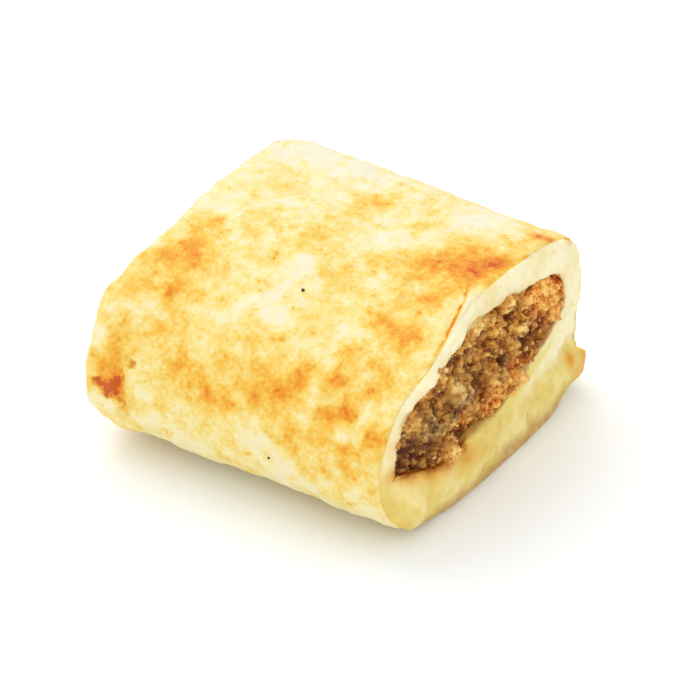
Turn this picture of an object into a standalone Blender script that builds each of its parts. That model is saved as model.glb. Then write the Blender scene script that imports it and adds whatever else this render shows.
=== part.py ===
"""A sausage roll: a thick pastry wrap round a core of sausage meat, cut across at both ends.

The roll lies along X on the flat base of the wrap, with its seam at the foot of the +Y side.
Both pieces are lofts from end to end. Each profile is given by its four outermost points and
by how full each quarter between them is, once for the left cut and once for the right cut.
"""

import math

import bmesh
import bpy
from mathutils import Vector, noise

mm = 0.001

# Driving sizes. Across the roll, y runs from the plain side (-) to the seam side (+).
HALF_LENGTH = 28.3 * mm
PLAIN_SIDE = -31.0 * mm
SEAM_SIDE = 27.7 * mm
ROLL_HEIGHT = 35.2 * mm
BASE_THICKNESS = 9.2 * mm
CROWN_THICKNESS = 4.4 * mm
PLAIN_WALL = 3.5 * mm
SEAM_WALL = 5.7 * mm
MEAT_CLEARANCE = 0.3 * mm

# Where the pastry is widest and where it is highest, and how full each quarter of its outline is:
# 2 is an ellipse, more is squarer. The quarters run from the plain side over the crown.
WIDEST_Z = 0.36 * ROLL_HEIGHT
CROWN_Y = 0.3 * SEAM_SIDE
RIGHT_WRAP_FULLNESS = (2.1, 3.6, 3.2, 3.0)
LEFT_WRAP_FULLNESS = (2.1, 3.6, 3.2, 2.8)

# The meat at the right and at the left cut: the height of its tip on the plain side and of its tip
# on the seam side, the places of its highest and lowest points, and its fullness.
RIGHT_MEAT_PLAIN_Z = 13.5 * mm
RIGHT_MEAT_SEAM_Z = 20.0 * mm
RIGHT_MEAT_TOP_Y = 0.25 * SEAM_SIDE
RIGHT_MEAT_LOW_Y = -9.5 * mm
RIGHT_MEAT_FULLNESS = (2.6, 3.0, 1.4, 1.6)
LEFT_MEAT_PLAIN_Z = 14.0 * mm
LEFT_MEAT_SEAM_Z = 19.0 * mm
LEFT_MEAT_TOP_Y = 0.2 * SEAM_SIDE
LEFT_MEAT_LOW_Y = -6.0 * mm
LEFT_MEAT_FULLNESS = (2.4, 2.8, 1.5, 1.8)

# The left cut leaves a slightly fuller, wider roll than the right one.
LEFT_SWELL = 2.4 * mm
LEFT_RISE = 0.3 * LEFT_SWELL
LEFT_WIDEST_Z = 1.05 * WIDEST_Z

# The profiles run this far below the table, and what is below it is pressed flat.
BASE_SINK = 0.7 * mm

# The cut pastry has soft edges, and the dough of the base bellies out at both cuts.
LEFT_RIM = 2.6 * mm
RIGHT_RIM = 1.5 * mm
RIM_STEPS = 3
RIGHT_BELLY = 0.8 * mm
LEFT_BELLY = 3.0 * mm
BELLY_Y = -8.0 * mm
BELLY_SPREAD = 36.0 * mm
RIGHT_BELLY_Z = (0.1 * ROLL_HEIGHT, 0.45 * ROLL_HEIGHT)
LEFT_BELLY_Z = (0.65 * ROLL_HEIGHT, 1.1 * ROLL_HEIGHT)
LEFT_BELLY_Y = (0.6 * PLAIN_SIDE, 1.1 * SEAM_SIDE)

# The top of the right cut is hollowed a little, in the middle of the crown.
CROWN_DIP = 1.5 * mm
CROWN_DIP_Y = -3.0 * mm
CROWN_DIP_SPREAD = 19.0 * mm
CROWN_DIP_Z = (0.8 * ROLL_HEIGHT, 0.35 * ROLL_HEIGHT)

# The end of the wrapped sheet stands out along the foot of the seam side.
LIP_REACH = 2.3 * mm
LIP_THICKNESS = 5.6 * mm
LIP_ROOT = 9.0 * mm
LIP_HEIGHT = 5.0 * mm
LIP_RIM = 1.0 * mm
LIP_NOSE = 0.6 * LIP_THICKNESS
LIP_FULLNESS = (2.0, 2.2, 2.2, 2.0)

# Unevenness, as (height, length) of the wave.
LIP_WANDER = (2.0 * mm, 11.0 * mm)
LIP_CURL = (1.5 * mm, 14.0 * mm)
DOUGH_WAVE = (0.55 * mm, 16.0 * mm)
MEAT_LUMPS = (1.1 * mm, 4.2 * mm)
MEAT_RECESS = 0.8 * mm
MEAT_RIM = 1.0 * mm
FLAT_BASE_FADE = 4.0 * mm
CAVITY_OVERRUN = 1.25

AROUND_WRAP, ALONG_WRAP, WRAP_FACE_RINGS = 72, 14, 4
AROUND_MEAT, ALONG_MEAT, MEAT_FACE_RINGS = 52, 8, 8
AROUND_LIP = 16
OUTLINE_STEPS = 90
CAP_SHARE = 0.9


class Profile:
    """A closed outline across the roll, from its four outermost points (y, z)."""

    def __init__(self, plain, crown, seam, foot, fullness):
        self.corners = [Vector(point) for point in (plain, crown, seam, foot)]
        self.fullness = fullness

    def blended(self, other, share):
        """This outline at share 0, the other one at share 1."""
        mixed = Profile(*self.corners, self.fullness)
        mixed.corners = [a.lerp(b, share) for a, b in zip(self.corners, other.corners)]
        mixed.fullness = [a + (b - a) * share for a, b in zip(self.fullness, other.fullness)]
        return mixed

    def outline(self, count):
        """Evenly spaced points, from the plain side over the crown and back along the foot."""
        plain, crown, seam, foot = self.corners
        quarters = (
            (plain, crown, False, self.fullness[0]),
            (crown, seam, True, self.fullness[1]),
            (seam, foot, False, self.fullness[2]),
            (foot, plain, True, self.fullness[3]),
        )
        dense = []
        for start, end, across_first, power in quarters:
            for step in range(OUTLINE_STEPS):
                angle = 0.5 * math.pi * step / OUTLINE_STEPS
                fast = math.sin(angle) ** (2 / power)
                slow = 1 - math.cos(angle) ** (2 / power)
                across, up = (fast, slow) if across_first else (slow, fast)
                run = end - start
                dense.append(start + Vector((run.x * across, run.y * up)))
        return evenly_spaced(dense, count)


def evenly_spaced(points, count):
    """The closed outline through the points again, with equal steps between its points."""
    closed = points + points[:1]
    lengths = [(b - a).length for a, b in zip(closed, closed[1:])]
    step = sum(lengths) / count
    spaced, travelled, index = [], 0.0, 0
    for number in range(count):
        while travelled + lengths[index] < number * step:
            travelled += lengths[index]
            index += 1
        share = (number * step - travelled) / lengths[index]
        spaced.append(closed[index].lerp(closed[index + 1], share))
    return spaced


def inset_outline(points, distance):
    """A closed outline moved inwards along its own normals."""
    moved = []
    for index, point in enumerate(points):
        along = points[(index + 1) % len(points)] - points[index - 1]
        moved.append(point + Vector((along.y, -along.x)).normalized() * distance)
    return moved


def faded(value, full, none):
    """1 up to the value `full`, 0 from the value `none` on, and smooth between them."""
    share = min(1.0, max(0.0, (none - value) / (none - full)))
    return share * share * (3 - 2 * share)


def cut_face_x(y, z, side):
    """How far out along X the cut pastry reaches at (y, z), on the side -1 or +1."""
    if side > 0:
        belly = RIGHT_BELLY * faded(z, *RIGHT_BELLY_Z) * (1 - ((y - BELLY_Y) / BELLY_SPREAD) ** 2)
        hollow = faded(abs(y - CROWN_DIP_Y), 0, CROWN_DIP_SPREAD) * faded(z, *CROWN_DIP_Z)
        belly -= CROWN_DIP * hollow
    else:
        belly = LEFT_BELLY * faded(z, *LEFT_BELLY_Z) * faded(y, *LEFT_BELLY_Y)
    return side * (HALF_LENGTH + belly)


def meat_face_x(y, z, side):
    return cut_face_x(y, z, side) - side * MEAT_RECESS


def unevenness(point, wave):
    """A smooth random push at a point, for a wave given by its height and its length."""
    height, length = wave
    return height * noise.noise(point / length)


def wrap_profiles():
    """The outside of the pastry at the left cut and at the right cut."""
    right = Profile(
        (PLAIN_SIDE, WIDEST_Z),
        (CROWN_Y, ROLL_HEIGHT),
        (SEAM_SIDE, WIDEST_Z),
        (CROWN_Y, -BASE_SINK),
        RIGHT_WRAP_FULLNESS,
    )
    left = Profile(
        (PLAIN_SIDE - LEFT_SWELL, LEFT_WIDEST_Z),
        (CROWN_Y, ROLL_HEIGHT + LEFT_RISE),
        (SEAM_SIDE, WIDEST_Z),
        (CROWN_Y, -BASE_SINK),
        LEFT_WRAP_FULLNESS,
    )
    return left, right


def meat_profiles():
    """The sausage meat, lowest towards the plain side and highest towards the seam side."""
    top = ROLL_HEIGHT - CROWN_THICKNESS
    seam = SEAM_SIDE - SEAM_WALL
    right = Profile(
        (PLAIN_SIDE + PLAIN_WALL, RIGHT_MEAT_PLAIN_Z),
        (RIGHT_MEAT_TOP_Y, top),
        (seam, RIGHT_MEAT_SEAM_Z),
        (RIGHT_MEAT_LOW_Y, BASE_THICKNESS),
        RIGHT_MEAT_FULLNESS,
    )
    left = Profile(
        (PLAIN_SIDE + PLAIN_WALL - LEFT_SWELL, LEFT_MEAT_PLAIN_Z),
        (LEFT_MEAT_TOP_Y, top),
        (seam, LEFT_MEAT_SEAM_Z),
        (LEFT_MEAT_LOW_Y, BASE_THICKNESS),
        LEFT_MEAT_FULLNESS,
    )
    return left, right


def lip_profiles():
    """The free end of the wrapped sheet, rooted in the wall."""
    tip = SEAM_SIDE + LIP_REACH
    lip = Profile(
        (tip - LIP_ROOT, LIP_HEIGHT),
        (tip - LIP_NOSE, LIP_HEIGHT + LIP_THICKNESS / 2),
        (tip, LIP_HEIGHT),
        (tip - LIP_NOSE, LIP_HEIGHT - LIP_THICKNESS / 2),
        LIP_FULLNESS,
    )
    return lip, lip


def rim_stations(radius):
    """(place, inset of the outline there) over a rounded rim that ends at place 1."""
    stations = []
    for step in range(RIM_STEPS + 1):
        angle = 0.5 * math.pi * step / RIM_STEPS
        place = 1 - radius / HALF_LENGTH * (1 - math.sin(angle))
        stations.append((place, radius * (1 - math.cos(angle))))
    return stations


def end_to_end_stations(count, left_rim, right_rim):
    """(place from -1 to 1, inset of the outline there) along the roll, both rims rounded."""
    left = [(-place, inset) for place, inset in reversed(rim_stations(left_rim))]
    right = rim_stations(right_rim)
    start, end = left[-1][0], right[0][0]
    middle = [(start + (end - start) * step / count, 0.0) for step in range(1, count)]
    return left + middle + right


def meat_stations():
    return end_to_end_stations(ALONG_MEAT, MEAT_RIM, MEAT_RIM)


def unit_cylinder(around, stations, face_rings):
    """A cylinder primitive on Z with edge loops at the stations and rings on both caps."""
    bm = bmesh.new()
    bmesh.ops.create_cone(
        bm, cap_ends=True, segments=around, radius1=1, radius2=1, depth=2 * stations[-1][0]
    )
    for place, _ in stations[1:-1]:
        everything = bm.verts[:] + bm.edges[:] + bm.faces[:]
        bmesh.ops.bisect_plane(
            bm, geom=everything, dist=1e-6, plane_co=(0, 0, place), plane_no=(0, 0, 1)
        )
    for _ in range(face_rings):
        caps = [face for face in bm.faces if len(face.verts) == around]
        bmesh.ops.inset_individual(bm, faces=caps, thickness=CAP_SHARE / face_rings)
    caps = [face for face in bm.faces if len(face.verts) == around]
    bmesh.ops.poke(bm, faces=caps)
    return bm


def loft(name, profiles, face_x, around, stations, face_rings, push):
    """A closed body shaped from a cylinder primitive: its wall follows the profiles along X."""
    left, right = profiles
    bm = unit_cylinder(around, stations, face_rings)
    outlines = {}
    for place, inset in stations:
        outline = left.blended(right, 0.5 + 0.5 * place).outline(around)
        outlines[round(place, 5)] = inset_outline(outline, inset)
    bm.verts.ensure_lookup_table()
    first_angle = math.atan2(bm.verts[0].co.y, bm.verts[0].co.x)
    for vert in bm.verts:
        place = round(vert.co.z, 5)
        outline = outlines[place]
        angle = math.atan2(vert.co.y, vert.co.x) - first_angle
        point = outline[round(angle / (2 * math.pi) * around) % around]
        middle = sum(outline, Vector((0, 0))) / around
        radius = min(1.0, math.hypot(vert.co.x, vert.co.y))
        y, z = middle.lerp(point, radius)
        side = 1 if place > 0 else -1
        outwards = Vector((0, y - middle.x, z - middle.y)).normalized()
        vert.co = push(Vector((abs(place) * face_x(y, z, side), y, z)), outwards, radius)
    if bm.calc_volume(signed=True) < 0:
        bmesh.ops.reverse_faces(bm, faces=bm.faces)
    mesh = bpy.data.meshes.new(name)
    bm.to_mesh(mesh)
    bm.free()
    return bpy.data.objects.new(name, mesh)


def push_dough(point, outwards, radius):
    """Baked dough: broad swells everywhere but on the flat base."""
    lift = min(1.0, max(0.0, point.z) / FLAT_BASE_FADE)
    moved = point + outwards * unevenness(point, DOUGH_WAVE) * lift
    moved.z = max(0.0, moved.z)
    return moved


def push_nothing(point, outwards, radius):
    return point


def push_lip(point, outwards, radius):
    """The free edge wanders in and out, and up and down, along the roll."""
    reach = max(0.0, (point.y - SEAM_SIDE + LIP_ROOT / 2) / LIP_ROOT)
    point.y += reach * unevenness(Vector((point.x, 0, 0)), LIP_WANDER)
    point.z += reach * unevenness(Vector((point.x, 1, 0)), LIP_CURL)
    return point


def push_meat(point, outwards, radius):
    """Minced meat: lumps on the cut ends, and a quiet wall inside the wrap."""
    point.x += unevenness(point, MEAT_LUMPS) * (1 - radius**4)
    return point


def combine(target, other, operation):
    """A Boolean of two bodies that stays on the target as a modifier."""
    modifier = target.modifiers.new(other.name, "BOOLEAN")
    modifier.operation = operation
    modifier.object = other
    modifier.solver = "EXACT"


def baked_material(name, colour, roughness):
    material = bpy.data.materials.new(name)
    material.use_nodes = True
    shader = material.node_tree.nodes["Principled BSDF"]
    shader.inputs["Base Color"].default_value = (*colour, 1)
    shader.inputs["Roughness"].default_value = roughness
    shader.inputs["Metallic"].default_value = 0
    return material


def build_pastry():
    stations = end_to_end_stations(ALONG_WRAP, LEFT_RIM, RIGHT_RIM)
    wrap = loft(
        "pastry", wrap_profiles(), cut_face_x, AROUND_WRAP, stations, WRAP_FACE_RINGS, push_dough
    )
    wrap.data.materials.append(baked_material("baked pastry", (0.86, 0.60, 0.27), 0.6))
    return wrap


def build_lip():
    stations = end_to_end_stations(ALONG_WRAP, LIP_RIM, LIP_RIM)
    return loft("seam_lip", lip_profiles(), cut_face_x, AROUND_LIP, stations, 1, push_lip)


def build_cavity():
    """The space that the meat fills, a clearance wider all round and run out past both cuts."""
    stations = [(place, -MEAT_CLEARANCE) for place, _ in meat_stations()]
    stations[0] = (-CAVITY_OVERRUN, -MEAT_CLEARANCE)
    stations[-1] = (CAVITY_OVERRUN, -MEAT_CLEARANCE)
    return loft("cavity", meat_profiles(), meat_face_x, AROUND_MEAT, stations, 1, push_nothing)


def build_filling():
    meat = loft(
        "filling",
        meat_profiles(),
        meat_face_x,
        AROUND_MEAT,
        meat_stations(),
        MEAT_FACE_RINGS,
        push_meat,
    )
    meat.data.materials.append(baked_material("sausage meat", (0.33, 0.19, 0.09), 0.7))
    return meat


def collection_of(name, *objects):
    collection = bpy.data.collections.new(name)
    bpy.context.scene.collection.children.link(collection)
    for obj in objects:
        collection.objects.link(obj)
    return collection


def centre_on_base(pastry, others):
    """Puts the middle of the roll's bounding box over the origin."""
    bpy.context.view_layer.update()
    shaped = pastry.evaluated_get(bpy.context.evaluated_depsgraph_get())
    corners = [Vector(corner) for corner in shaped.bound_box]
    shift = Vector()
    for axis in (0, 1):
        values = [corner[axis] for corner in corners]
        shift[axis] = -0.5 * (min(values) + max(values))
    for obj in [pastry] + others:
        for vert in obj.data.vertices:
            vert.co += shift


def main():
    for obj in list(bpy.data.objects):
        bpy.data.objects.remove(obj)
    pastry, lip, cavity, filling = build_pastry(), build_lip(), build_cavity(), build_filling()
    collection_of("sausage roll", pastry, filling)
    collection_of("cutters", lip, cavity)
    for helper in (lip, cavity):
        helper.hide_render = True
        helper.display_type = "WIRE"
    combine(pastry, lip, "UNION")
    combine(pastry, cavity, "DIFFERENCE")
    centre_on_base(pastry, [lip, cavity, filling])


main()
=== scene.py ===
import math
import random

import bpy
import numpy as np
from mathutils import Matrix, Vector, noise
from mathutils.bvhtree import BVHTree
from mathutils.kdtree import KDTree


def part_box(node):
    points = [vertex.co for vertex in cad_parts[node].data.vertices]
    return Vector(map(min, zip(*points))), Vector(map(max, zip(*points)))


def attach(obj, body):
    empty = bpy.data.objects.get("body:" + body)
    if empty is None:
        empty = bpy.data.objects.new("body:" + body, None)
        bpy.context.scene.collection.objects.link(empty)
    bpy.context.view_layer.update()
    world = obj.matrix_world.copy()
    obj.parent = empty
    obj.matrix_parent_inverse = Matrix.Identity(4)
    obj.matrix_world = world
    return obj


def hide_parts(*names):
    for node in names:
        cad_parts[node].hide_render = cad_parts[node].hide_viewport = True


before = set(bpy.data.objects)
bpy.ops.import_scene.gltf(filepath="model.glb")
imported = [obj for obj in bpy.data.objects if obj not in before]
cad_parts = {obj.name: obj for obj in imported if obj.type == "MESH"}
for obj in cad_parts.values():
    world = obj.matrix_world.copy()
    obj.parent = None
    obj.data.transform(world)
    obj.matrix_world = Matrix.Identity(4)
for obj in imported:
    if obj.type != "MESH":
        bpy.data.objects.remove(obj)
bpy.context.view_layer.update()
mm = 0.001
farOut = 0.05  # beyond both ends of the roll, in m


# Small helpers for modelling.

def onlyThis(piece):
    bpy.ops.object.select_all(action="DESELECT")
    piece.select_set(True)
    bpy.context.view_layer.objects.active = piece


def applied(piece, kind, **settings):
    onlyThis(piece)
    modifier = piece.modifiers.new(kind.title(), kind)
    for name, value in settings.items():
        setattr(modifier, name, value)
    bpy.ops.object.modifier_apply(modifier=modifier.name)


def copyOfNode(node, name):
    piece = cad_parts[node].copy()
    piece.data = piece.data.copy()
    piece.name = piece.data.name = name
    bpy.context.scene.collection.objects.link(piece)
    onlyThis(piece)
    bpy.ops.object.mode_set(mode="EDIT")
    bpy.ops.mesh.select_all(action="SELECT")
    bpy.ops.mesh.remove_doubles(threshold=0.01 * mm)
    bpy.ops.object.mode_set(mode="OBJECT")
    piece.data.materials.clear()
    return piece


def pointsOf(piece):
    flat = np.empty(len(piece.data.vertices) * 3)
    piece.data.vertices.foreach_get("co", flat)
    return flat.reshape(-1, 3) / mm


def normalsOf(piece):
    flat = np.empty(len(piece.data.vertices) * 3)
    piece.data.vertex_normals.foreach_get("vector", flat)
    return flat.reshape(-1, 3)


def fade(values, full, none):  # 1 up to full, 0 from none on, smooth between; full may be the larger
    share = np.clip((none - values) / (none - full), 0, 1)
    return share * share * (3 - 2 * share)


def noiseAt(points, size, seed):  # smooth noise from about -1 to 1, lumps of that size in mm
    offset = Vector((seed * 17.3, seed * 5.1, seed * 9.7))
    return np.array([noise.noise(Vector(point) / size + offset) for point in points]) * 1.6


def paintGroup(piece, name, weights):
    group = piece.vertex_groups.new(name=name)
    levels = np.round(np.clip(weights, 0, 1) * 50).astype(int)
    for level in range(1, 51):
        group.add(np.nonzero(levels == level)[0].tolist(), level / 50, "REPLACE")


def paintAttribute(piece, name, values):
    layer = piece.data.attributes.new(name, "FLOAT", "POINT")
    layer.data.foreach_set("value", np.clip(values, 0, 1).astype(np.float32))


def relief(piece, name, grain, height, group, level=0.5):  # sizes in mm
    texture = bpy.data.textures.new(name, "CLOUDS")
    texture.noise_scale = grain * mm
    texture.noise_depth = 1
    applied(piece, "DISPLACE", texture=texture, texture_coords="LOCAL", strength=height * mm,
            mid_level=level, vertex_group=group)


def moveBy(piece, moves):
    moved = (pointsOf(piece) + moves) * mm
    piece.data.vertices.foreach_set("co", moved.ravel())
    piece.data.update()


def keepAboveTable(piece):
    moved = pointsOf(piece) * mm
    moved[:, 2] = np.maximum(moved[:, 2], 0)
    piece.data.vertices.foreach_set("co", moved.ravel())
    piece.data.update()


def thinOut(piece, chosen, ratio):  # fewer faces where nobody looks
    onlyThis(piece)
    bpy.ops.object.mode_set(mode="EDIT")
    bpy.ops.mesh.select_all(action="DESELECT")
    bpy.ops.object.mode_set(mode="OBJECT")
    centres = np.empty(len(piece.data.polygons) * 3)
    piece.data.polygons.foreach_get("center", centres)
    piece.data.polygons.foreach_set("select", chosen(centres.reshape(-1, 3) / mm))
    bpy.ops.object.mode_set(mode="EDIT")
    bpy.ops.mesh.select_mode(type="FACE")
    bpy.ops.mesh.decimate(ratio=ratio)
    bpy.ops.object.mode_set(mode="OBJECT")


def finishPiece(piece, material, slot, *nodes):
    piece.vertex_groups.clear()
    piece.data.materials.clear()
    piece.data.materials.append(material)
    piece.data.shade_smooth()
    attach(piece, "root")
    if nodes:
        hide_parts(*nodes)
    piece.data.calc_loop_triangles()
    print(piece.name, len(piece.data.loop_triangles), "triangles")


# Shader maths as expressions.

class Wire:
    def __init__(self, tree, socket=None):
        self.tree = tree
        self.socket = socket

    def node(self, kind, settings=None, values=None, output=0):
        made = self.tree.nodes.new(kind)
        for name, value in (settings or {}).items():
            if name == "stops":
                fillRamp(made.color_ramp, value)
            else:
                setattr(made, name, value)
        for name, value in (values or {}).items():
            if isinstance(value, Wire):
                self.tree.links.new(value.socket, made.inputs[name])
            else:
                made.inputs[name].default_value = value
        return Wire(self.tree, made.outputs[output])

    def maths(self, operation, first, second=0.0, clamp=False):
        settings = {"operation": operation, "use_clamp": clamp}
        return self.node("ShaderNodeMath", settings, {0: first, 1: second})

    def __add__(self, other):
        return self.maths("ADD", self, other)

    def __sub__(self, other):
        return self.maths("SUBTRACT", self, other)

    def __rsub__(self, other):
        return self.maths("SUBTRACT", other, self)

    def __mul__(self, other):
        return self.maths("MULTIPLY", self, other)

    __radd__ = __add__
    __rmul__ = __mul__

    def clamped(self):
        return self.maths("ADD", self, 0.0, clamp=True)

    def ramp(self, *stops):  # (place, colour) pairs
        return self.node("ShaderNodeValToRGB", {"stops": stops}, {"Fac": self})

    def mixed(self, first, second):  # first colour at 0, second at 1
        settings = {"data_type": "RGBA", "blend_type": "MIX"}
        return self.node("ShaderNodeMix", settings, {0: self, 6: first, 7: second}, output=2)


def fillRamp(ramp, stops):
    while len(ramp.elements) < len(stops):
        ramp.elements.new(0.5)
    for element, (position, tone) in zip(ramp.elements, stops):
        element.position = position
        element.color = tone


def colour(red, green, blue):  # as seen on a screen, 0 to 255
    def linear(value):
        value /= 255
        return value / 12.92 if value <= 0.04045 else ((value + 0.055) / 1.055) ** 2.4

    return linear(red), linear(green), linear(blue), 1.0


def newMaterial(name, **constants):
    material = bpy.data.materials.new(name)
    material.use_nodes = True
    shader = material.node_tree.nodes["Principled BSDF"]
    for socket, value in constants.items():
        shader.inputs[socket.replace("_", " ")].default_value = value
    return material, Wire(material.node_tree), shader


def plug(shader, name, wire):
    wire.tree.links.new(wire.socket, shader.inputs[name])


def place(wire):
    return wire.node("ShaderNodeTexCoord", output=3)


def painted(wire, name):
    return wire.node("ShaderNodeAttribute", {"attribute_name": name}, output=2)


def mottle(wire, size, detail=3.0, roughness=0.5, shift=0.0):  # noise with lumps of that size in mm
    both = {0: place(wire), 1: (shift, shift, shift)}
    moved = wire.node("ShaderNodeVectorMath", {"operation": "ADD"}, both)
    values = {"Vector": moved, "Scale": 0.6 / (size * mm), "Detail": detail, "Roughness": roughness}
    return wire.node("ShaderNodeTexNoise", {}, values)


# The baked pastry.

pastryMake = {
    "voxel": 0.41,            # mm between points of the surface
    "swells": (9.0, 0.8),     # size and height in mm of each relief
    "blisters": (3.4, 0.5),
    "pores": (1.2, 0.26),
    "doughRolls": (6.0, 1.5),
    "doughCrumb": (1.6, 0.55),
    "overlap": 0.35,          # how far the dough swells over the edge of the meat, in mm
    "hiddenFaces": 0.06,      # share of the faces kept inside the tunnel
    "hiddenWall": 1.2,        # its walls are this near the meat, in mm
    "hiddenEnd": 25.0,        # and hidden up to here along the roll, in mm
    "setback": 1.4,           # how far the plain side of the right cut lies back, in mm
    "doughLevel": 0.62,       # how much of the dough's relief lies below its surface
    "bake": 0.33,             # 0 is raw white, 1 is burnt
}

# Where each zone of the pastry ends, in mm: full as far as the first value, gone at the second.
pastryZones = {
    "cutEnd": (26.5, 25.0),         # along the roll, towards either end
    "cutFacing": (0.72, 0.42),      # how squarely a face looks along the roll, up to 1
    "tunnelWall": (0.5, 0.9),       # away from the meat
    "tunnelEnd": (27.0, 28.0),      # along the roll
    "flatBase": (0.3, 2.0),         # above the table
    "meatEdge": (1.4, 2.0),         # dough this near the meat is cut dough, whichever way it looks
    "nestled": (0.9, 1.9),          # dough this near the meat swells against it
    "nestledEnd": (28.0, 26.5),     # along the roll
    "riseAway": (1.0, 4.5),         # where the lower dough swells up: away from the meat
    "riseEnd": (28.2, 26.8),        # along the roll
    "riseTop": (12.0, 15.0),        # above the table
    "riseFoot": (3.0, 8.0),         # and not as near to it as this
    "slantSide": (-24.0, -14.0),    # what the slanting cut took off: the plain side
    "slantFoot": (4.0, 12.0),       # and nothing this near the table
    "slantEnd": (27.0, 20.0),       # along the roll
}

# How the cut dough and the folds are coloured: places and reaches in mm, strengths up to 1.
doughTones = {
    "shelf": 8.5,                   # height where it turns from yellow to white
    "shelfPlain": 4.5,              # how much higher that is at the plain side
    "shelfSwell": 2.2,              # and for each mm that the dough swells up
    "shelfSide": (-16.0, -6.0),     # where across the roll the plain side ends
    "shelfFade": (0.0, 4.5),        # all yellow and all white, above that height
    "juiceAndShadeEdge": (0.5, 0.7),        # strength and reach of the juice and painted shade along the meat
    "oilBand": (1.3, 0.9),          # distance from the meat and reach of the oily band
    "oilTop": (14.0, 17.0),         # where it ends above the table
    "oilSide": (0.0, -5.0),         # and across the roll, towards the plain side
    "rim": (1.2, 5.5),              # pale this near the meat at the toasted end
    "foot": (0.8, 4.5),             # painted shade, darker this near the table
    "foldBrown": (0.2, 0.8),        # how much browner the folds of the left end are, and reach
}

# Browner places of the crust: (x, y, z) and reach in mm, and how much browner.
brownSpots = {
    "leftBurn": ((-24, -32, 15), 1.9, 0.56),
    "leftBurnTop": ((-25, -30, 20), 2.2, 0.26),
    "leftEdge": ((-23, -28, 24), 2.2, 0.14),
    "leftStreak": ((-18.8, -21.5, 28.8), 1.4, 0.46),
    "leftStreakLow": ((-18, -26, 25), 1.4, 0.19),
    "leftCrown": ((-20, -13, 32), 2.2, 0.34),
    "leftCrownTop": ((-21, -8, 34), 2.0, 0.20),
    "leftRidge": ((-23, -16, 32), 2.2, 0.18),
    "leftRidgeLow": ((-24, -21, 29), 2.6, 0.21),
    "leftMiddle": ((-14, -19, 30), 2.6, 0.15),
    "shoulderA": ((-14, -29, 22), 2.6, 0.25),
    "shoulderB": ((-9, -29, 20), 2.6, 0.25),
    "shoulderC": ((-3, -30, 19), 3.0, 0.20),
    "shoulderD": ((2.6, -26.8, 23.8), 2.4, 0.34),
    "shoulderE": ((5, -29, 21), 2.0, 0.25),
    "shoulderF": ((8, -27, 23), 1.8, 0.36),
    "shoulderG": ((9, -24, 26), 1.4, 0.26),
    "lowA": ((11, -30, 16), 2.0, 0.29),
    "lowB": ((15, -30, 12), 2.4, 0.15),
    "lowC": ((21, -30, 12), 2.0, 0.10),
    "spotA": ((16, -27, 22), 1.5, 0.41),
    "spotB": ((19, -26, 23), 1.3, 0.44),
    "spotC": ((16, -23, 26), 1.3, 0.42),
    "spotD": ((15, -19, 29), 1.4, 0.31),
    "spotE": ((23, -22, 27), 2.0, 0.38),
    "slopeA": ((22, -14, 31), 2.2, 0.33),
    "slopeB": ((17, -13, 32), 2.0, 0.33),
    "slopeC": ((18, -30, 17), 2.2, 0.24),
    "slopeD": ((23, -29, 17), 2.0, 0.23),
    "slopeE": ((27, -27, 21), 1.8, 0.29),
    "crownA": ((23.6, 5.2, 35), 2.6, 0.50),
    "crownB": ((20.5, 3, 35), 2.4, 0.28),
    "crownH": ((16.8, 2.6, 35), 1.3, 0.16),
    "crownC": ((20, -6, 34), 1.8, 0.42),
    "crownD": ((15.6, 0.2, 34.8), 2.2, 0.36),
    "crownE": ((20, 9, 35), 2.0, 0.26),
    "crownF": ((25, 12, 35), 1.8, 0.13),
    "crownG": ((26, 8, 35), 1.6, 0.25),
    "crownTip": ((26.4, 18, 35), 1.6, 0.38),
    "crownTipEdge": ((28.6, 18.6, 34.8), 1.1, 0.30),
    "crownDot": ((28.8, 11, 34.7), 0.8, 0.75),
    "seamCorner": ((29.5, 23.5, 32), 0.9, 0.55),
    "spotF": ((9.3, -25.2, 24.8), 1.4, 0.25),
    "crownI": ((22.4, -2.2, 34.2), 1.8, 0.26),
    "middleH": ((10.0, 9.4, 35.4), 1.5, 0.14),
    "slopeF": ((8, -9.5, 32.9), 1.8, 0.16),
    "slopeG": ((11.5, -20.0, 28.5), 1.6, 0.14),
    "frontA": ((9.5, -28.0, 21.0), 1.8, 0.12),
    "goldenMiddle": ((-2.8, -21.8, 27.9), 2.6, 0.12),
    "middleA": ((-1, 12, 36), 1.5, 0.27),
    "middleB": ((1, 16, 35), 1.5, 0.09),
    "middleC": ((-4, -3, 35), 2.2, 0.13),
    "middleD": ((-7, -5, 35), 1.6, 0.08),
    "middleE": ((9, -2, 35), 2.0, 0.12),
    "middleF": ((9, 15, 35), 2.2, 0.08),
    "middleG": ((-2, -21, 28), 1.8, 0.08),
    "lipTop": ((29, 28.6, 7.5), 2.4, 0.40),
    "lipMiddle": ((8, 29.5, 6), 4.5, 0.26),
    "lipLeft": ((-14, 29, 6), 5.0, 0.30),
    "backLeft": ((-18, 27, 24), 4.0, 0.28),
    "backMiddle": ((2, 28, 17), 5.0, 0.24),
    "backRight": ((17, 27, 25), 3.4, 0.30),
    "underLeft": ((-14, -8, 0), 9.0, 0.30),
    "underMiddle": ((3, 9, 0), 10.0, 0.34),
    "underRight": ((18, -7, 0), 8.0, 0.26),
}

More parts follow.
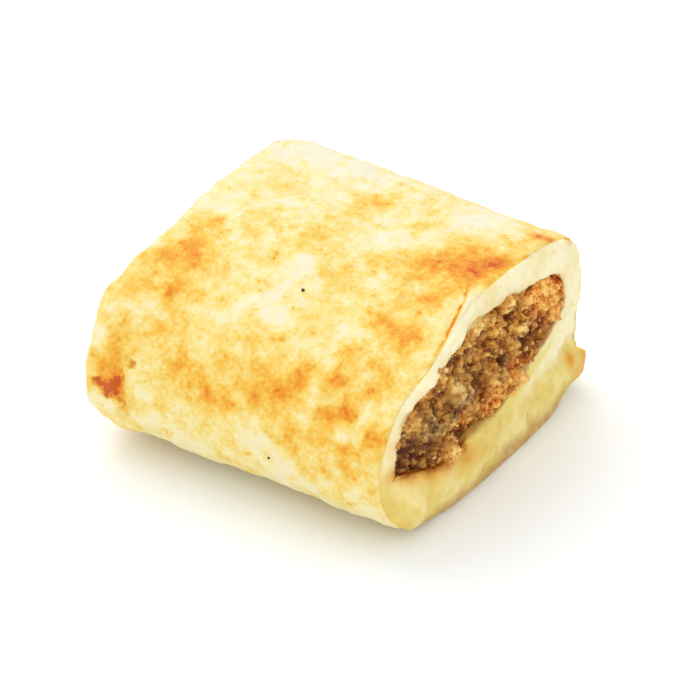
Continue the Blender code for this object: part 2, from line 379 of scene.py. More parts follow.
# Paler places of the crust, in the same way.
paleSpots = {
    "slopeWhite": ((-3, -18, 30), 3.0, 0.22),
    "slopeCream": ((11, -17, 30), 3.0, 0.04),
    "crownCream": ((-2, -9, 34), 2.4, 0.12),
    "crownRing": ((8, 4, 35), 2.4, 0.15),
    # seamLeft, seamRight, seamMiddle and seamTop pale the top of the back: partly paler baking, partly a
    # painted sheen where the light grazes it
    "seamLeft": ((-21, 18, 35), 6.0, 0.24),
    "seamRight": ((14, 17, 35), 4.5, 0.27),
    "seamMiddle": ((-8, 20, 35), 5.0, 0.24),
    "footA": ((-16, -32, 10), 3.4, 0.09),
    "footB": ((-7, -30, 8), 3.5, 0.14),
    "footC": ((6, -30, 9), 3.5, 0.16),
    "footD": ((17, -30, 7), 3.0, 0.10),
    "footF": ((24.5, -30, 9), 2.6, 0.22),
    "seamTop": ((4, 23, 34), 3.0, 0.14),
    "footE": ((29, -29, 8), 3.5, 0.02),
    "backWall": ((5, 29, 14), 9.0, 0.12),
    "leftTop": ((-22.8, 0.8, 35.7), 2.8, 0.17),
    "crownLeft": ((-7.2, 5.7, 35.7), 2.4, 0.15),
    "leftSlope": ((-9.2, -12.7, 32.5), 2.2, 0.16),
    "crownRight": ((13.4, 5.6, 35.4), 1.8, 0.10),
    "seamNear": ((21.5, 10.9, 35.5), 1.8, 0.12),
    "leftWall": ((-26.0, -28.4, 22.8), 1.6, 0.16),
    "leftLow": ((-25.2, -31.9, 10.5), 2.2, 0.24),
}

# Burnt edges and dents of the crust: place and reach in mm, strength.
charSpots = {
    "burnLeft": ((-26.3, -31.9, 14.9), 0.7, 0.9),
    "burnRight": ((-22.1, -31.5, 16.3), 0.55, 0.8),
    "burnLow": ((-24.3, -32.0, 12.7), 0.7, 0.9),
    "dent": ((-20.4, -30.3, 19.3), 0.6, 1.0),
    "dentTop": ((-21.7, -30.2, 19.9), 0.45, 0.7),
    "creaseTop": ((-22.5, -31.9, 13.3), 0.4, 0.7),
    "crease": ((-22.1, -31.9, 12.3), 0.4, 0.9),
    "creaseLow": ((-21.5, -31.8, 11.0), 0.5, 1.0),
    "corner": ((-23.4, -32.6, 5.8), 1.0, 1.0),
    "cornerTip": ((-21.6, -32.6, 4.6), 0.9, 1.0),
    "crownDot": ((28.8, 11.0, 34.7), 0.5, 0.4),
    "seamCorner": ((29.5, 23.5, 32.0), 0.6, 0.5),
    "leftSeam": ((-27.0, 14.0, 34.5), 0.7, 0.6),
    "backLow": ((-14.0, 28.5, 9.0), 0.8, 0.7),
}

# Dents and swellings of the crust: place, reach and height in mm.
crustLumps = {
    "dent": ((-20.6, -30.3, 19.3), 0.9, -0.7),
    "dentLip": ((-20.3, -30.6, 21.0), 1.3, 0.4),
    "corner": ((-22.8, -31.0, 4.6), 1.8, 2.2),
    "cornerNotch": ((-18.5, -31.0, 2.5), 2.0, -0.6),
    "burnBlister": ((-23.6, -31.8, 15.2), 1.4, 0.4),
    "leftShoulder": ((-27.5, -25.0, 28.0), 4.0, 1.1),
    "leftShoulderHigh": ((-27.0, -17.5, 31.0), 3.0, 0.5),
    "wallFoot": ((27.5, 27.5, 13.5), 3.6, -1.0),
    "lapNotch": ((28.6, 27.8, 10.4), 1.3, -0.9),
}

# Meat juice soaked into the dough of the right cut, and painted shade under the lower edge of the meat:
# place and reach in mm, strength.
juiceAndShadeSpots = {
    "plainTip": ((29.4, -26.4, 20.0), 1.5, 0.3),
    # plainLow and lowA to lowE lie along the meat's lower edge: partly juice, partly painted shade under the
    # meat
    "plainLow": ((29.4, -27.0, 14.8), 1.6, 0.5),
    "lowA": ((29.4, -22.5, 12.8), 1.9, 0.70),
    "lowB": ((29.4, -17.8, 11.2), 2.0, 0.78),
    "lowC": ((29.4, -13.0, 10.4), 2.0, 0.78),
    "lowD": ((29.4, -9.6, 9.6), 1.7, 0.62),
    "lowE": ((29.4, -7.0, 7.4), 1.6, 0.42),
}

# Folds pressed into the crust: start and end in mm, width and depth in mm.
folds = {
    "leftEnd": ((-22.4, -31.4, 18), (-21.2, -31.9, 8), 0.9, 0.8),
    "leftFoot": ((-21.2, -31.9, 8), (-22.6, -31, 3), 1.1, 0.7),
    "rimFold": ((25.6, -3.4, 34.2), (27.6, -14, 31.2), 0.6, 0.22),
}

# Browned edges of the cut dough: place and reach in mm, strength.
goldenEdges = {
    "lapTop": ((29.4, 24.8, 8.2), 0.9, 1.4),
    "lapTip": ((29.4, 30.6, 5.6), 1.6, 1.4),
    "lapLow": ((29.4, 28.6, 3.2), 1.3, 0.5),
    "seamCorner": ((29.2, 24.4, 32.2), 0.8, 1.0),
    "plainFoot": ((29.6, -29.0, 3.0), 2.2, 0.4),
}

# Swollen lumps of the unbrowned dough on the right cut: place, reach and height in mm.
doughLumps = {
    "near": ((29.8, -22, 8.6), 2.8, 1.1),
    "nearLow": ((29.8, -25, 4.5), 2.2, 0.6),
    "middle": ((29.8, -15.2, 8), 2.2, 1.0),
    "bulge": ((29.9, -3, 8), 3.2, 1.4),
    "right": ((29.9, 7.5, 7.6), 2.8, 0.9),
    "lip": ((29.8, 17.0, 6.6), 2.8, 0.9),
    "grooveNear": ((30, -18.6, 6.0), 1.1, -0.9),
    "grooveA": ((30, -9, 7), 1.4, -1.6),
    "grooveB": ((30, 2.6, 5), 1.2, -1.0),
    "grooveC": ((30, 12.2, 5), 1.2, -0.9),
    "hollow": ((29.6, -16, 11.2), 1.8, -0.8),
    "hollowNear": ((29.6, -23, 13), 1.6, -0.8),
    "wall": ((29.3, 24.5, 17), 3.0, -0.6),
    "lapGroove": ((29.4, 22.5, 10.4), 0.9, -0.8),
    "lapGrooveTop": ((29.4, 25.5, 10.4), 0.9, -1.0),
    "lapEdge": ((29.4, 24.6, 8.0), 1.0, 0.5),
}

# Where the dough below the meat swells upwards: y, reach and height in mm.
doughSwells = {
    "middle": (-4.8, 2.9, 1.5),
    "near": (-21.0, 2.6, 0.4),
}

# The brown line where the crust pulled back from the right cut, in mm.
crustLine = {
    "x": 28.2,                      # its place furthest to the right, at y
    "y": -20.5,
    "bend": 0.0087,                 # how far it curves back for each square mm
    "wander": 1.4,                  # how much it strays
    "sharpness": 2.2,               # one over half its width
    "brown": 0.7,
    "pale": 1.6,                    # one over the distance past it where the crust is palest
    "farEnd": (-3.0, 1.0),          # y where it ends towards the seam
    "nearEnd": (-26.0, -19.0),      # and towards the plain side
    "faint": 0.6,                   # how much fainter it is towards the plain side
    "faintEnd": (-16.0, -8.0),      # y where that ends
}


def spotSum(points, spots):  # places are (x, y, z), or (y, z) whatever the x
    total = np.zeros(len(points))
    for centre, reach, strength in spots.values():
        away = ((points[:, -len(centre):] - np.array(centre)) ** 2).sum(axis=1)
        total += strength * np.exp(-0.5 * away / reach**2)
    return total


def awayFromLine(points, start, end):
    start, end = np.array(start, float), np.array(end, float)
    along = end - start
    share = np.clip((points - start) @ along / (along @ along), 0, 1)
    return np.linalg.norm(points - start - share[:, None] * along, axis=1)


def towardsMeat(points):
    meat = BVHTree.FromObject(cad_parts["filling"], bpy.context.evaluated_depsgraph_get())
    return np.array([meat.find_nearest(Vector(point) * mm)[0] for point in points]) / mm - points


def awayFromMeat(points):
    return np.linalg.norm(towardsMeat(points), axis=1)


def onCut(points, normals, side):  # 1 on the cut face of that side
    atEnd = fade(side * points[:, 0], *pastryZones["cutEnd"])
    return atEnd * fade(side * normals[:, 0], *pastryZones["cutFacing"])


def nestled(points):  # the dough swollen against the meat at both cuts
    steps = towardsMeat(points)
    steps[:, 0] = 0
    away = np.linalg.norm(steps, axis=1)
    share = fade(away, *pastryZones["nestled"]) * fade(np.abs(points[:, 0]), *pastryZones["nestledEnd"])
    return steps / np.maximum(away, 0.01)[:, None] * (share * (away + pastryMake["overlap"]))[:, None]


def swellAt(points):
    rise = np.zeros(len(points))
    for y, reach, height in doughSwells.values():
        rise += height * np.exp(-0.5 * ((points[:, 1] - y) / reach) ** 2)
    return rise


def doughRise(points):  # the lower dough of the right cut swells up over the edge of the meat
    height = points[:, 2]
    below = fade(height, *pastryZones["riseTop"]) * (1 - fade(height, *pastryZones["riseFoot"]))
    near = fade(points[:, 0], *pastryZones["riseEnd"]) * fade(awayFromMeat(points), *pastryZones["riseAway"])
    return swellAt(points) * below * near


def setBack(piece):  # the plain side of the right cut was cut a little slanting
    points = pointsOf(piece)
    share = 1 - fade(points[:, 2], *pastryZones["slantFoot"])
    share *= fade(points[:, 1], *pastryZones["slantSide"]) * fade(points[:, 0], *pastryZones["slantEnd"])
    moves = np.zeros((len(points), 3))
    moves[:, 0] = -pastryMake["setback"] * share
    moveBy(piece, moves)


def makePastry():
    piece = copyOfNode("pastry", "bakedPastry")
    applied(piece, "REMESH", mode="VOXEL", voxel_size=pastryMake["voxel"] * mm)
    applied(piece, "SMOOTH", factor=0.5, iterations=2)
    points, normals = pointsOf(piece), normalsOf(piece)
    gap = awayFromMeat(points)
    tunnel = fade(gap, *pastryZones["tunnelWall"]) * fade(np.abs(points[:, 0]), *pastryZones["tunnelEnd"])
    loose = (1 - tunnel) * (1 - fade(points[:, 2], *pastryZones["flatBase"]))
    rightCut, leftCut = onCut(points, normals, 1), onCut(points, normals, -1)
    cut = np.maximum(rightCut, leftCut)
    paintAttribute(piece, "dough", np.maximum(rightCut, fade(gap, *pastryZones["meatEdge"])))
    paintAttribute(piece, "toastedEnd", leftCut)
    paintGroup(piece, "crustZone", loose * (1 - cut))
    paintGroup(piece, "doughZone", loose * cut)
    pushed = spotSum(points, doughLumps) * rightCut
    for start, end, width, depth in folds.values():
        pushed -= depth * np.exp(-((awayFromLine(points, start, end) / width) ** 2))
    pushed += spotSum(points, crustLumps)
    moves = normals * (pushed * loose)[:, None]
    moves += nestled(points)
    moves[:, 2] += doughRise(points)
    moveBy(piece, moves)
    for name in ("swells", "blisters", "pores"):
        size, height = pastryMake[name]
        relief(piece, name, size, height, "crustZone")
    for name in ("doughRolls", "doughCrumb"):
        size, height = pastryMake[name]
        relief(piece, name, size, height, "doughZone", pastryMake["doughLevel"])
    keepAboveTable(piece)
    thinOut(piece, insideTunnel, pastryMake["hiddenFaces"])
    paintBaking(piece)
    setBack(piece)
    return piece


def insideTunnel(centres):
    atWall = awayFromMeat(centres) < pastryMake["hiddenWall"]
    return atWall & (np.abs(centres[:, 0]) < pastryMake["hiddenEnd"])


def paintBaking(piece):
    points = pointsOf(piece)
    bake = pastryMake["bake"] + spotSum(points, brownSpots) - spotSum(points, paleSpots)
    strength, reach = doughTones["foldBrown"]
    for name in ("leftEnd", "leftFoot"):
        start, end = folds[name][:2]
        bake += strength * np.exp(-((awayFromLine(points, start, end) / reach) ** 2))
    paintAttribute(piece, "bake", bake)
    paintAttribute(piece, "char", spotSum(points, charSpots))
    gap, across, height = awayFromMeat(points), points[:, 1], points[:, 2]
    shelf = doughTones["shelf"] + doughTones["shelfPlain"] * fade(across, *doughTones["shelfSide"])
    shelf += doughTones["shelfSwell"] * swellAt(points)
    paintAttribute(piece, "whiteDough", 1 - fade(height - shelf, *doughTones["shelfFade"]))
    # juice stain and painted shade along the meat
    strength, reach = doughTones["juiceAndShadeEdge"]
    juice = spotSum(points, juiceAndShadeSpots) + strength * np.exp(-((gap / reach) ** 2))
    paintAttribute(piece, "juice", juice)
    away, reach = doughTones["oilBand"]
    oil = np.exp(-(((gap - away) / reach) ** 2))
    oil *= fade(height, *doughTones["oilTop"]) * fade(across, *doughTones["oilSide"])
    paintAttribute(piece, "oil", oil)
    paintAttribute(piece, "golden", spotSum(points, goldenEdges))
    paintAttribute(piece, "rim", 1 - fade(gap, *doughTones["rim"]))
    # painted shade near the table
    paintAttribute(piece, "foot", fade(height, *doughTones["foot"]))
    strip = fade(across, *crustLine["farEnd"]) * (1 - fade(across, *crustLine["nearEnd"]))
    paintAttribute(piece, "rimStrip", strip)
    paintAttribute(piece, "rimLine", 1 - crustLine["faint"] * fade(across, *crustLine["faintEnd"]))


def crustMaterial():
    material, wire, shader = newMaterial(
        "bakedCrust", Subsurface_Weight=0.1, Subsurface_Scale=0.0006,
        Subsurface_Radius=(1.0, 0.5, 0.2), Specular_IOR_Level=0.18)
    speckle = mottle(wire, 0.42, detail=2.0) - 0.5
    freckle = mottle(wire, 1.5, detail=3.0, roughness=0.55, shift=0.3) - 0.5
    cloud = mottle(wire, 4.2, detail=3.0, roughness=0.55, shift=0.7) - 0.5
    # a thin brown line, and pale from there to the edge of the cut
    along = wire.node("ShaderNodeSeparateXYZ", {}, {0: place(wire)})
    across = Wire(wire.tree, along.socket.node.outputs[1]) * (1 / mm) - crustLine["y"]
    lineX = crustLine["x"] - across * across * crustLine["bend"]
    past = along * (1 / mm) - lineX + freckle * crustLine["wander"]
    strip = painted(wire, "rimStrip")
    line = (1 - past.maths("ABSOLUTE", past) * crustLine["sharpness"]).clamped() * strip
    line = line * (freckle * 2 + 0.9).clamped() * painted(wire, "rimLine")
    pale = (past * crustLine["pale"]).clamped() * strip
    bake = painted(wire, "bake")
    heat = bake + (speckle * 0.4 + freckle * 0.8 + cloud * 0.7) * (0.75 + bake * 0.6)
    burnt = ((painted(wire, "char") + freckle * 1.2 + speckle * 0.6 - 0.2) * 1.2).clamped()
    heat = (heat * (1 - pale * 0.5) + line * crustLine["brown"] + burnt * 0.5).clamped()
    crust = heat.ramp(
        (0.05, colour(229, 221, 196)),
        (0.22, colour(232, 219, 164)),
        (0.38, colour(231, 206, 122)),
        (0.54, colour(229, 186, 78)),
        (0.68, colour(226, 163, 52)),
        (0.84, colour(222, 136, 36)),
        (0.95, colour(212, 112, 28)),
        (1.00, colour(196, 88, 24)),
    )
    crust = (burnt * 0.6).mixed(crust, colour(158, 66, 16))
    crumb = mottle(wire, 0.8, detail=4.0, roughness=0.65, shift=1.1)
    lump = mottle(wire, 3.6, detail=2.0, shift=1.7)
    baseDough = (crumb * 0.25 + lump * 0.75).ramp(
        (0.36, colour(220, 190, 98)),
        (0.48, colour(230, 206, 118)),
        (0.60, colour(240, 222, 150)),
    )
    whiteDough = (crumb * 0.5 + lump * 0.5).ramp(
        (0.36, colour(236, 219, 158)),
        (0.56, colour(246, 236, 196)),
    )
    dough = painted(wire, "whiteDough").mixed(baseDough, whiteDough)
    dough = (painted(wire, "oil") * (lump * 1.2 + 0.2)).clamped().mixed(dough, colour(224, 202, 84))
    # painted shade on the dough's foot near the table
    foot = (painted(wire, "foot") * (crumb * 1.6)).clamped().mixed(dough, colour(188, 146, 82))
    # juice stain with painted shade along and under the meat
    soakedAndShaded = (painted(wire, "juice") * (crumb * 0.8 + 0.5)).clamped()
    stainedAndShaded = (soakedAndShaded * 1.4).clamped().mixed(foot, soakedAndShaded.ramp(
        (0.15, colour(236, 198, 112)),
        (0.50, colour(220, 158, 58)),
        (0.90, colour(158, 84, 18)),
    ))
    toasted = (painted(wire, "rim") * 0.45 + 0.08 + freckle * 0.8 + cloud).clamped().ramp(
        (0.10, colour(240, 224, 172)),
        (0.40, colour(232, 200, 128)),
        (0.65, colour(222, 164, 70)),
        (0.90, colour(192, 112, 36)),
    )
    leftCut = (painted(wire, "juice") * (crumb + 0.3)).clamped().mixed(toasted, colour(140, 76, 30))
    golden = (painted(wire, "golden") * (0.9 + freckle * 2)).clamped()
    stainedAndShaded = golden.mixed(stainedAndShaded, colour(226, 150, 44))
    edged = ((painted(wire, "dough") - 0.5 + freckle * 0.6) * 5 + 0.5).clamped()
    skin = edged.mixed(crust, stainedAndShaded)
    skin = ((painted(wire, "toastedEnd") - 0.5 + freckle) * 3 + 0.5).clamped().mixed(skin, leftCut)
    plug(shader, "Base Color", skin)
    plug(shader, "Roughness", 0.60 - heat * 0.14)
    bump = wire.node("ShaderNodeBump", {}, {
        "Strength": 0.55, "Distance": 0.4 * mm,
        "Height": speckle * 0.6 + freckle})
    plug(shader, "Normal", bump)
    return material


# The sausage meat.

meatMake = {
    "voxel": 0.28,            # mm between points of the surface
    "hiddenFaces": 0.05,      # share of the faces kept along its sides
    "seed": 41,
    "swollen": (-14.0, 7.0, 1.1),  # where it presses the upper dough thin: y, reach and how far, in mm
    "proud": 0.35,            # how far the meat stands out of its solid, in mm
    "spread": (0.1, 0.4),     # how far its edge swells over the dough at the top and bottom, in mm
    "ragged": (1.5, 0.35),    # size and depth in mm of the raggedness of that edge
    "hollows": (5.5, 0.8),    # size and height in mm of the broad relief of the cut
    "cutEnd": (27.6, 26.0),   # where along the roll the cuts' relief is full, and where it is gone, in mm
    "sides": 25.5,            # its sides are hidden up to here along the roll, in mm
    "grainLayer": (27.0, 4.0),  # where along the roll the layer of grains lies, and half its depth, in mm
    "grainMargin": 2.0,       # how far it reaches past the cut all round, in mm
    # grains in mm: size, how much they stand out or are missing, how round they are; share of the tone
    "clods": (2.9, (-1.1, 0.5), 0.55, 0.35),
    "mince": (1.35, (-0.5, 0.4), 0.5, 0.45),
    "crumbs": (0.7, (-0.2, 0.2), 0.3, 0.2),
}

# Where the meat bulges or has dropped away on the right cut: (y, z) and reach in mm, height.
meatSwells = {
    "lowSeam": ((10.0, 13.0), 2.6, 1.0),
    "doughSwell": ((-5, 10.5), 2.4, -1.2),
    "plain": ((-15, 15), 3.5, 0.5),
    "seamTip": ((20, 25), 3.0, -0.1),
    "pitHigh": ((12.8, 18.6), 1.6, -1.5),
    "pitMiddle": ((5.5, 18.4), 1.3, -1.1),
    "underCrown": ((2.2, 26.8), 2.2, 0.7),
    "lowPlain": ((-12.6, 11.5), 1.8, 0.6),
    "plainTip": ((-24, 16), 2.6, -0.9),
}

# Loose bits on the cuts: size range in mm, stretch, how many on each end, spacing in mm, sunk share.
looseKinds = {
    "minceCrumbs": {"size": (0.9, 1.7), "stretch": 1.9, "count": 130, "spacing": 1.5, "sink": 0.2},
    "minceGrit": {"size": (0.45, 0.85), "stretch": 1.3, "count": 420, "spacing": 0.7, "sink": 0.05},
    "fatFlecks": {"size": (0.5, 1.1), "stretch": 1.7, "count": 34, "spacing": 2.6, "sink": 0.1},
}

# How all the loose bits are strewn.
looseMake = {
    "tries": 14,              # places tried for each grain
    "margin": 0.45,           # room kept round its middle, as a share of its size
    "cutFrom": 25.0,          # a grain lies on the meat at least this far along the roll, in mm
    "spillShare": 12,         # one grain in so many spills, on each stretch of the spill line
    "spillSize": 0.8,         # size of those, as a share of the others'
    "spillRise": 0.8,         # roughly how far they lie above the line, in mm
    "spillFrom": 28.0,        # and at least how far along the roll
}

# Mince that has fallen out over the lower edge of the right cut: y and z in mm.
spillLine = ((2.0, 12.6), (5.5, 12.4), (10.0, 13.2), (13.5, 15.6))

# Fried and dark places of the cuts: (y, z) and reach in mm, strength.
friedSpots = {
    "seamTip": ((20.0, 25.5), 3.2, 1.5),
    "seamSide": ((21, 20), 2.4, 0.6),
    "lowMiddle": ((3, 12.5), 2.6, 0.9),
    "lowSeam": ((9.5, 13.6), 2.8, 0.9),
    "lowPlain": ((-12.6, 10.5), 1.4, 0.4),
    "redSpot": ((-7.4, 15.0), 1.5, 0.9),
    "crownTip": ((14, 30), 1.8, 0.5),
    "seamMiddle": ((14.5, 26.2), 2.4, 0.8),
    "lowBand": ((0, 14), 2.2, 0.8),
}

darkSpots = {
    "plainTip": ((-24, 14.5), 2.6, 0.8),
    "plainLow": ((-20.7, 15.4), 2.6, 0.9),
    "plainHigh": ((-17, 21.0), 2.0, 0.8),
    "plainMiddle": ((-15.5, 16.2), 2.4, 0.7),
    "redSpot": ((-10, 17.8), 1.6, 0.8),
    "lowBand": ((-3.6, 15.6), 2.2, 0.55),
    "middle": ((-7, 20), 2.6, 0.55),
    # pitHigh, pitMiddle and pitLow are painted shade in the pits of the meat
    "pitHigh": ((12.8, 18.8), 1.5, 1.1),
    "pitMiddle": ((5.5, 18.4), 1.1, 1.0),
    "pitLow": ((3.6, 16.8), 1.2, 0.6),
    "crownEdge": ((9.7, 30.2), 1.0, 0.9),
    "crownLow": ((5.6, 24.7), 1.0, 0.35),
    "crownFar": ((-6, 25), 2.0, 0.35),
}


def seedsNear(low, high, size, chance):  # one point in each cell of a loose grid
    steps = [max(1, round((b - a) / size)) for a, b in zip(low, high)]
    tree, lifts = KDTree(steps[0] * steps[1] * steps[2]), []
    for number in range(steps[0] * steps[1] * steps[2]):
        cell = (number % steps[0], number // steps[0] % steps[1], number // steps[0] // steps[1])
        tree.insert([a + (c + chance.random()) * size for a, c in zip(low, cell)], number)
        lifts.append(chance.random())
    tree.balance()
    return tree, lifts


def makeMeatCore():
    piece = copyOfNode("filling", "meatCore")
    applied(piece, "REMESH", mode="VOXEL", voxel_size=meatMake["voxel"] * mm)
    thinOut(piece, lambda centres: np.abs(centres[:, 0]) < meatMake["sides"], meatMake["hiddenFaces"])
    chance = random.Random(meatMake["seed"])
    points, normals = pointsOf(piece), normalsOf(piece)
    side = np.sign(points[:, 0])
    zone = fade(np.abs(points[:, 0]), *meatMake["cutEnd"])
    size, height = meatMake["hollows"]
    height = meatMake["proud"] + height * noiseAt(points, size, 4)
    height += spotSum(points, meatSwells) * (side > 0)
    shade = np.zeros(len(points))
    chosen = np.nonzero(zone > 0)[0]
    middle, half = meatMake["grainLayer"]
    low = points[chosen].min(axis=0) - meatMake["grainMargin"]
    high = points[chosen].max(axis=0) + meatMake["grainMargin"]
    for name in ("clods", "mince", "crumbs"):
        size, (lowest, highest), roundness, weight = meatMake[name]
        trees = {}
        for end in (-1, 1):
            near = (middle * end - half, low[1], low[2]), (middle * end + half, high[1], high[2])
            trees[end] = seedsNear(*near, size, chance)
        for index in chosen:
            tree, lifts = trees[int(side[index])]
            (_, first, away), (_, second, further) = tree.find_n(points[index], 2)
            edge = min(1.0, (further - away) / (0.3 * size))
            lift = lowest + (highest - lowest) * lifts[first]
            other = lowest + (highest - lowest) * lifts[second]
            blend = 0.5 + 0.5 * edge
            dome = max(-0.6, 0.6 - (away / (0.6 * size)) ** 2)
            height[index] += blend * lift + (1 - blend) * other + roundness * dome
            shade[index] += weight * (lifts[first] * 7919 % 1)  # another random share for the same grain
    least, most = meatMake["spread"]
    size, depth = meatMake["ragged"]
    spread = least + (most - least) * fade(normals[:, 2], -0.5, 0.2) + depth * noiseAt(points, size, 8)
    y, reach, extra = meatMake["swollen"]
    above = fade(normals[:, 2], 0.3, -0.1) * (side > 0)
    spread += extra * fade(np.abs(points[:, 1] - y), 0, reach) * above
    outwards = normals * (spread * zone)[:, None]
    outwards[:, 0] = side * height * zone
    moveBy(piece, outwards)
    applied(piece, "SMOOTH", factor=0.3, iterations=1)
    setBack(piece)
    paintAttribute(piece, "shade", shade)
    # painted light on raised grains and painted shade in the pits between them, from their height
    paintAttribute(piece, "tops", (height - meatMake["proud"] + 0.9) / 2.0)
    return piece


def grainShape(name, seed):
    bpy.ops.object.select_all(action="DESELECT")
    bpy.ops.mesh.primitive_ico_sphere_add(subdivisions=2, radius=0.5)
    grain = bpy.context.object
    grain.name = name
    texture = bpy.data.textures.new(name, "CLOUDS")
    texture.noise_scale = 0.36 + 0.05 * seed
    texture.noise_depth = 1
    applied(grain, "DISPLACE", texture=texture, texture_coords="LOCAL", strength=0.85, mid_level=0.5)
    shape = np.array([vertex.co for vertex in grain.data.vertices])
    faces = np.array([polygon.vertices for polygon in grain.data.polygons])
    bpy.data.objects.remove(grain)
    return shape, faces


def looseSpots(kind, tree, chance):
    low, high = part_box("filling")
    spots = []
    for side in (-1, 1):
        placed = []
        for attempt in range(kind["count"] * looseMake["tries"]):
            if len(placed) == kind["count"]:
                break
            size = chance.uniform(*kind["size"]) * mm
            y, z = chance.uniform(low[1], high[1]), chance.uniform(low[2], high[2])
            spot = surfaceSpot(tree, side, y, z, looseMake["margin"] * size)
            if spot and all((spot - other).length > kind["spacing"] * mm for other in placed):
                placed.append(spot)
                spots.append((spot - Vector((side * kind["sink"] * size, 0, 0)), size))
    return spots


def spilledSpots(kind, tree, chance):  # over the lower edge of the right cut
    spots = []
    for (y0, z0), (y1, z1) in zip(spillLine, spillLine[1:]):
        for number in range(kind["count"] // looseMake["spillShare"]):
            size = chance.uniform(*kind["size"]) * looseMake["spillSize"] * mm
            share = chance.random()
            y = (y0 + (y1 - y0) * share) * mm
            z = (z0 + (z1 - z0) * share + abs(chance.gauss(0, looseMake["spillRise"]))) * mm
            hit = tree.ray_cast(Vector((farOut, y, z)), Vector((-1, 0, 0)))[0]
            if hit and hit.x > looseMake["spillFrom"] * mm:
                spots.append((hit + Vector((0.1 * size, 0, 0)), size))
    return spots


def scatterMince(name, core, crust):
    kind = looseKinds[name]
    chance = random.Random(meatMake["seed"] + len(name))
    deps = bpy.context.evaluated_depsgraph_get()
    meatTree, crustTree = BVHTree.FromObject(core, deps), BVHTree.FromObject(crust, deps)
    shapes = [grainShape(name + str(seed), seed) for seed in range(4)]
    spots = looseSpots(kind, meatTree, chance)
    if name != "fatFlecks":
        spots += spilledSpots(kind, crustTree, chance)
    points, faces, shades, total = [], [], [], 0
    for spot, size in spots:
        shape, corners = shapes[chance.randrange(4)]
        stretch = chance.uniform(1, kind["stretch"])
        turn = Matrix.Rotation(chance.uniform(0, 6.28), 3, Vector((
            chance.uniform(-1, 1), chance.uniform(-1, 1), chance.uniform(-1, 1))).normalized())
        scaled = shape * np.array([stretch, 1, chance.uniform(0.7, 1)]) * size
        points.append(scaled @ np.array(turn).T + np.array(spot))
        faces.append(corners + total)
        total += len(shape)
        shades.append(np.full(len(shape), chance.random()))
    mesh = bpy.data.meshes.new(name)
    mesh.from_pydata(np.concatenate(points).tolist(), [], np.concatenate(faces).tolist())
    piece = bpy.data.objects.new(name, mesh)
    bpy.context.scene.collection.objects.link(piece)
    paintAttribute(piece, "shade", np.concatenate(shades))
    # loose grains get a little of the same painted light as raised grains
    paintAttribute(piece, "tops", np.full(total, 0.55))
    return piece


def surfaceSpot(tree, side, y, z, margin):  # on the cut, with room for the grain all round
    middle = None
    for turn in range(-1, 6):
        reach = 0 if turn < 0 else margin
        start = Vector((side * farOut, y + reach * math.cos(turn), z + reach * math.sin(turn)))
        hit = tree.ray_cast(start, Vector((-side, 0, 0)))[0]
        if hit is None or abs(hit.x) < looseMake["cutFrom"] * mm:
            return None
        middle = middle or hit
    return middle


def paintMeat(piece):
    points = pointsOf(piece)
    patchy = 0.8 + 0.7 * noiseAt(points, 1.8, 5)
    for name, spots in (("fried", friedSpots), ("dark", darkSpots)):
        paintAttribute(piece, name, spotSum(points, spots) * patchy)


def meatMaterial(name, tones):
    material, wire, shader = newMaterial(
        name, Specular_IOR_Level=0.16, Subsurface_Weight=0.08, Subsurface_Scale=0.0008)
    fine = mottle(wire, 0.4, detail=3.0, roughness=0.6)
    broad = mottle(wire, 2.2, detail=2.0, shift=0.4)
    tone = painted(wire, "shade") * 0.4 + (fine - 0.5) * 0.9 + (broad - 0.5) * 0.7
    # painted light and shade: lighter on raised grains, darker in pits
    tone = (tone + (painted(wire, "tops") - 0.5) * 0.7 + 0.36).clamped()
    meat = tone.ramp(*tones)
    meat = ((broad - 0.42) * 1.6).clamped().mixed(meat, (tone * 0.9 + 0.05).clamped().ramp(
        (0.1, colour(98, 60, 42)), (0.5, colour(176, 132, 66)), (0.9, colour(240, 206, 136))))
    fried = (painted(wire, "fried") * (fine * 1.4 + 0.2)).clamped()
    meat = fried.mixed(meat, (tone + 0.1).clamped().ramp(
        (0.2, colour(178, 74, 14)), (0.5, colour(238, 142, 46)), (0.8, colour(255, 206, 112))))
    meat = (painted(wire, "dark") * (1.3 - fine)).clamped().mixed(meat, colour(88, 40, 26))
    plug(shader, "Base Color", meat)
    plug(shader, "Roughness", 0.62 - fine * 0.3)
    bump = wire.node("ShaderNodeBump", {}, {"Strength": 0.6, "Distance": 0.25 * mm, "Height": fine})
    plug(shader, "Normal", bump)
    return material


minceTones = (
    (0.05, colour(88, 40, 12)),
    (0.25, colour(142, 82, 28)),
    (0.45, colour(188, 126, 50)),
    (0.62, colour(212, 152, 64)),
    (0.78, colour(234, 182, 88)),
    (0.95, colour(252, 218, 136)),
)

fatTones = (
    (0.20, colour(206, 150, 78)),
    (0.80, colour(244, 210, 142)),
)


# Pepper specks on the crust.

pepperSpecks = {
    "crown": ((1.3, -12.8, 32.2), 0.62),    # place and size in mm
    "front": ((6.7, -30.4, 11.7), 0.45),
    "back": ((-9.0, 28.0, 20.0), 0.5),
}


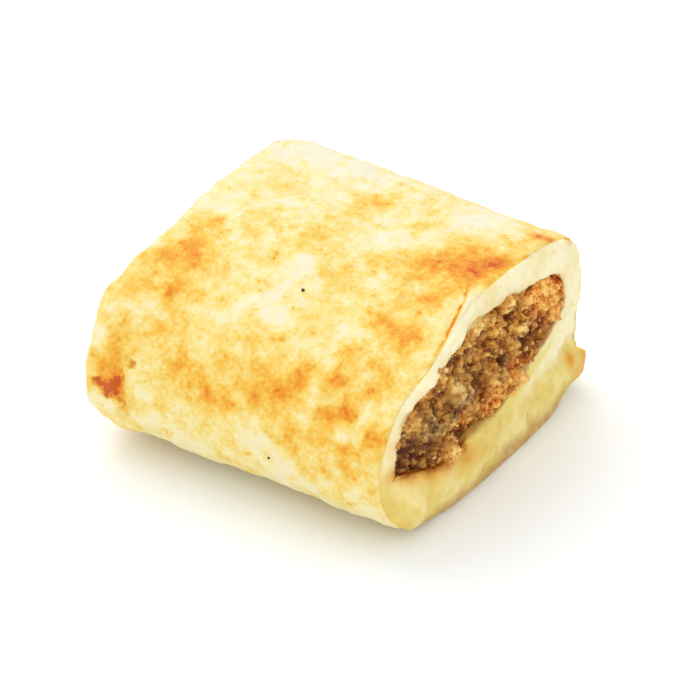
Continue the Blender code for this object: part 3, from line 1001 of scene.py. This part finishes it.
def makePepper(crust):
    tree = BVHTree.FromObject(crust, bpy.context.evaluated_depsgraph_get())
    specks = []
    for name, (spot, size) in pepperSpecks.items():
        hit = tree.find_nearest(Vector(spot) * mm)[0]
        bpy.ops.object.select_all(action="DESELECT")
        bpy.ops.mesh.primitive_ico_sphere_add(subdivisions=2, radius=0.5 * size * mm, location=hit)
        speck = bpy.context.object
        texture = bpy.data.textures.new(name, "CLOUDS")
        texture.noise_scale = 0.3 * mm
        applied(speck, "DISPLACE", texture=texture, texture_coords="LOCAL", strength=0.3 * size * mm)
        specks.append(speck)
    bpy.ops.object.select_all(action="DESELECT")
    for speck in specks:
        speck.select_set(True)
    bpy.context.view_layer.objects.active = specks[0]
    bpy.ops.object.join()
    bpy.ops.object.transform_apply(location=True, rotation=True, scale=True)
    piece = bpy.context.object
    piece.name = piece.data.name = "pepper"
    return piece


def pepperMaterial():
    material, wire, shader = newMaterial("crackedPepper", Specular_IOR_Level=0.4)
    grain = mottle(wire, 0.2, detail=2.0)
    plug(shader, "Base Color", grain.ramp((0.3, colour(24, 18, 12)), (0.8, colour(74, 50, 28))))
    plug(shader, "Roughness", 0.8 - grain * 0.2)
    return material


# The studio.

studio = {
    "world": 0.94,
    "key": (7.5, 1.3, (-0.8, 0.35, 1.0)),    # watts, size in m, place
    "fill": (4.5, 1.6, (0.2, -1.1, 0.8)),
    "floor": (0.925, 0.945, 0.95, 1.0),
    "floorSize": 4.0,                        # in m
    "azimuth": 34.3,
    "elevation": 34.0,
    "distance": 0.600,
    "lens": 187.2,
    "sensor": 36.0,
    "target": (2.0 * mm, -0.48 * mm, 14 * mm),
}


def makeStudio():
    scene = bpy.context.scene
    scene.view_settings.view_transform = "Standard"
    world = bpy.data.worlds.new("whiteRoom")
    world.use_nodes = True
    world.node_tree.nodes["Background"].inputs["Color"].default_value = (1.0, 1.0, 1.0, 1.0)
    world.node_tree.nodes["Background"].inputs["Strength"].default_value = studio["world"]
    scene.world = world
    for name in ("key", "fill"):
        power, size, spot = studio[name]
        bpy.ops.object.light_add(type="AREA", location=spot)
        light = bpy.context.object
        light.name = name + "Light"
        light.data.energy = power
        light.data.size = size
        light.rotation_euler = (-Vector(spot)).to_track_quat("-Z", "Y").to_euler()
    bpy.ops.mesh.primitive_plane_add(size=studio["floorSize"])
    floor = bpy.context.object
    floor.name = "studioFloor"
    material = newMaterial(
        "studioFloor", Base_Color=studio["floor"], Specular_IOR_Level=0.1, Roughness=0.9)[0]
    floor.data.materials.append(material)


def makeCamera():
    azimuth, elevation = math.radians(studio["azimuth"]), math.radians(studio["elevation"])
    back = Vector((math.sin(azimuth) * math.cos(elevation), -math.cos(azimuth) * math.cos(elevation),
                   math.sin(elevation)))
    spot = Vector(studio["target"]) + back * studio["distance"]
    bpy.ops.object.camera_add(location=spot)
    camera = bpy.context.object
    camera.rotation_euler = back.to_track_quat("Z", "Y").to_euler()
    camera.data.lens = studio["lens"]
    camera.data.sensor_width = studio["sensor"]
    camera.data.clip_start = 0.01
    bpy.context.scene.camera = camera


# Putting it together.

makeStudio()
makeCamera()
print("studio ready")

pastry = makePastry()
finishPiece(pastry, crustMaterial(), "pastry", "pastry")

core = makeMeatCore()
paintMeat(core)
finishPiece(core, meatMaterial("mincedMeat", minceTones), "filling", "filling")
for looseName in looseKinds:
    loose = scatterMince(looseName, core, pastry)
    paintMeat(loose)
    tones = fatTones if looseName == "fatFlecks" else minceTones
    finishPiece(loose, meatMaterial(looseName, tones), "filling")

finishPiece(makePepper(pastry), pepperMaterial(), "pastry")
print("food ready")
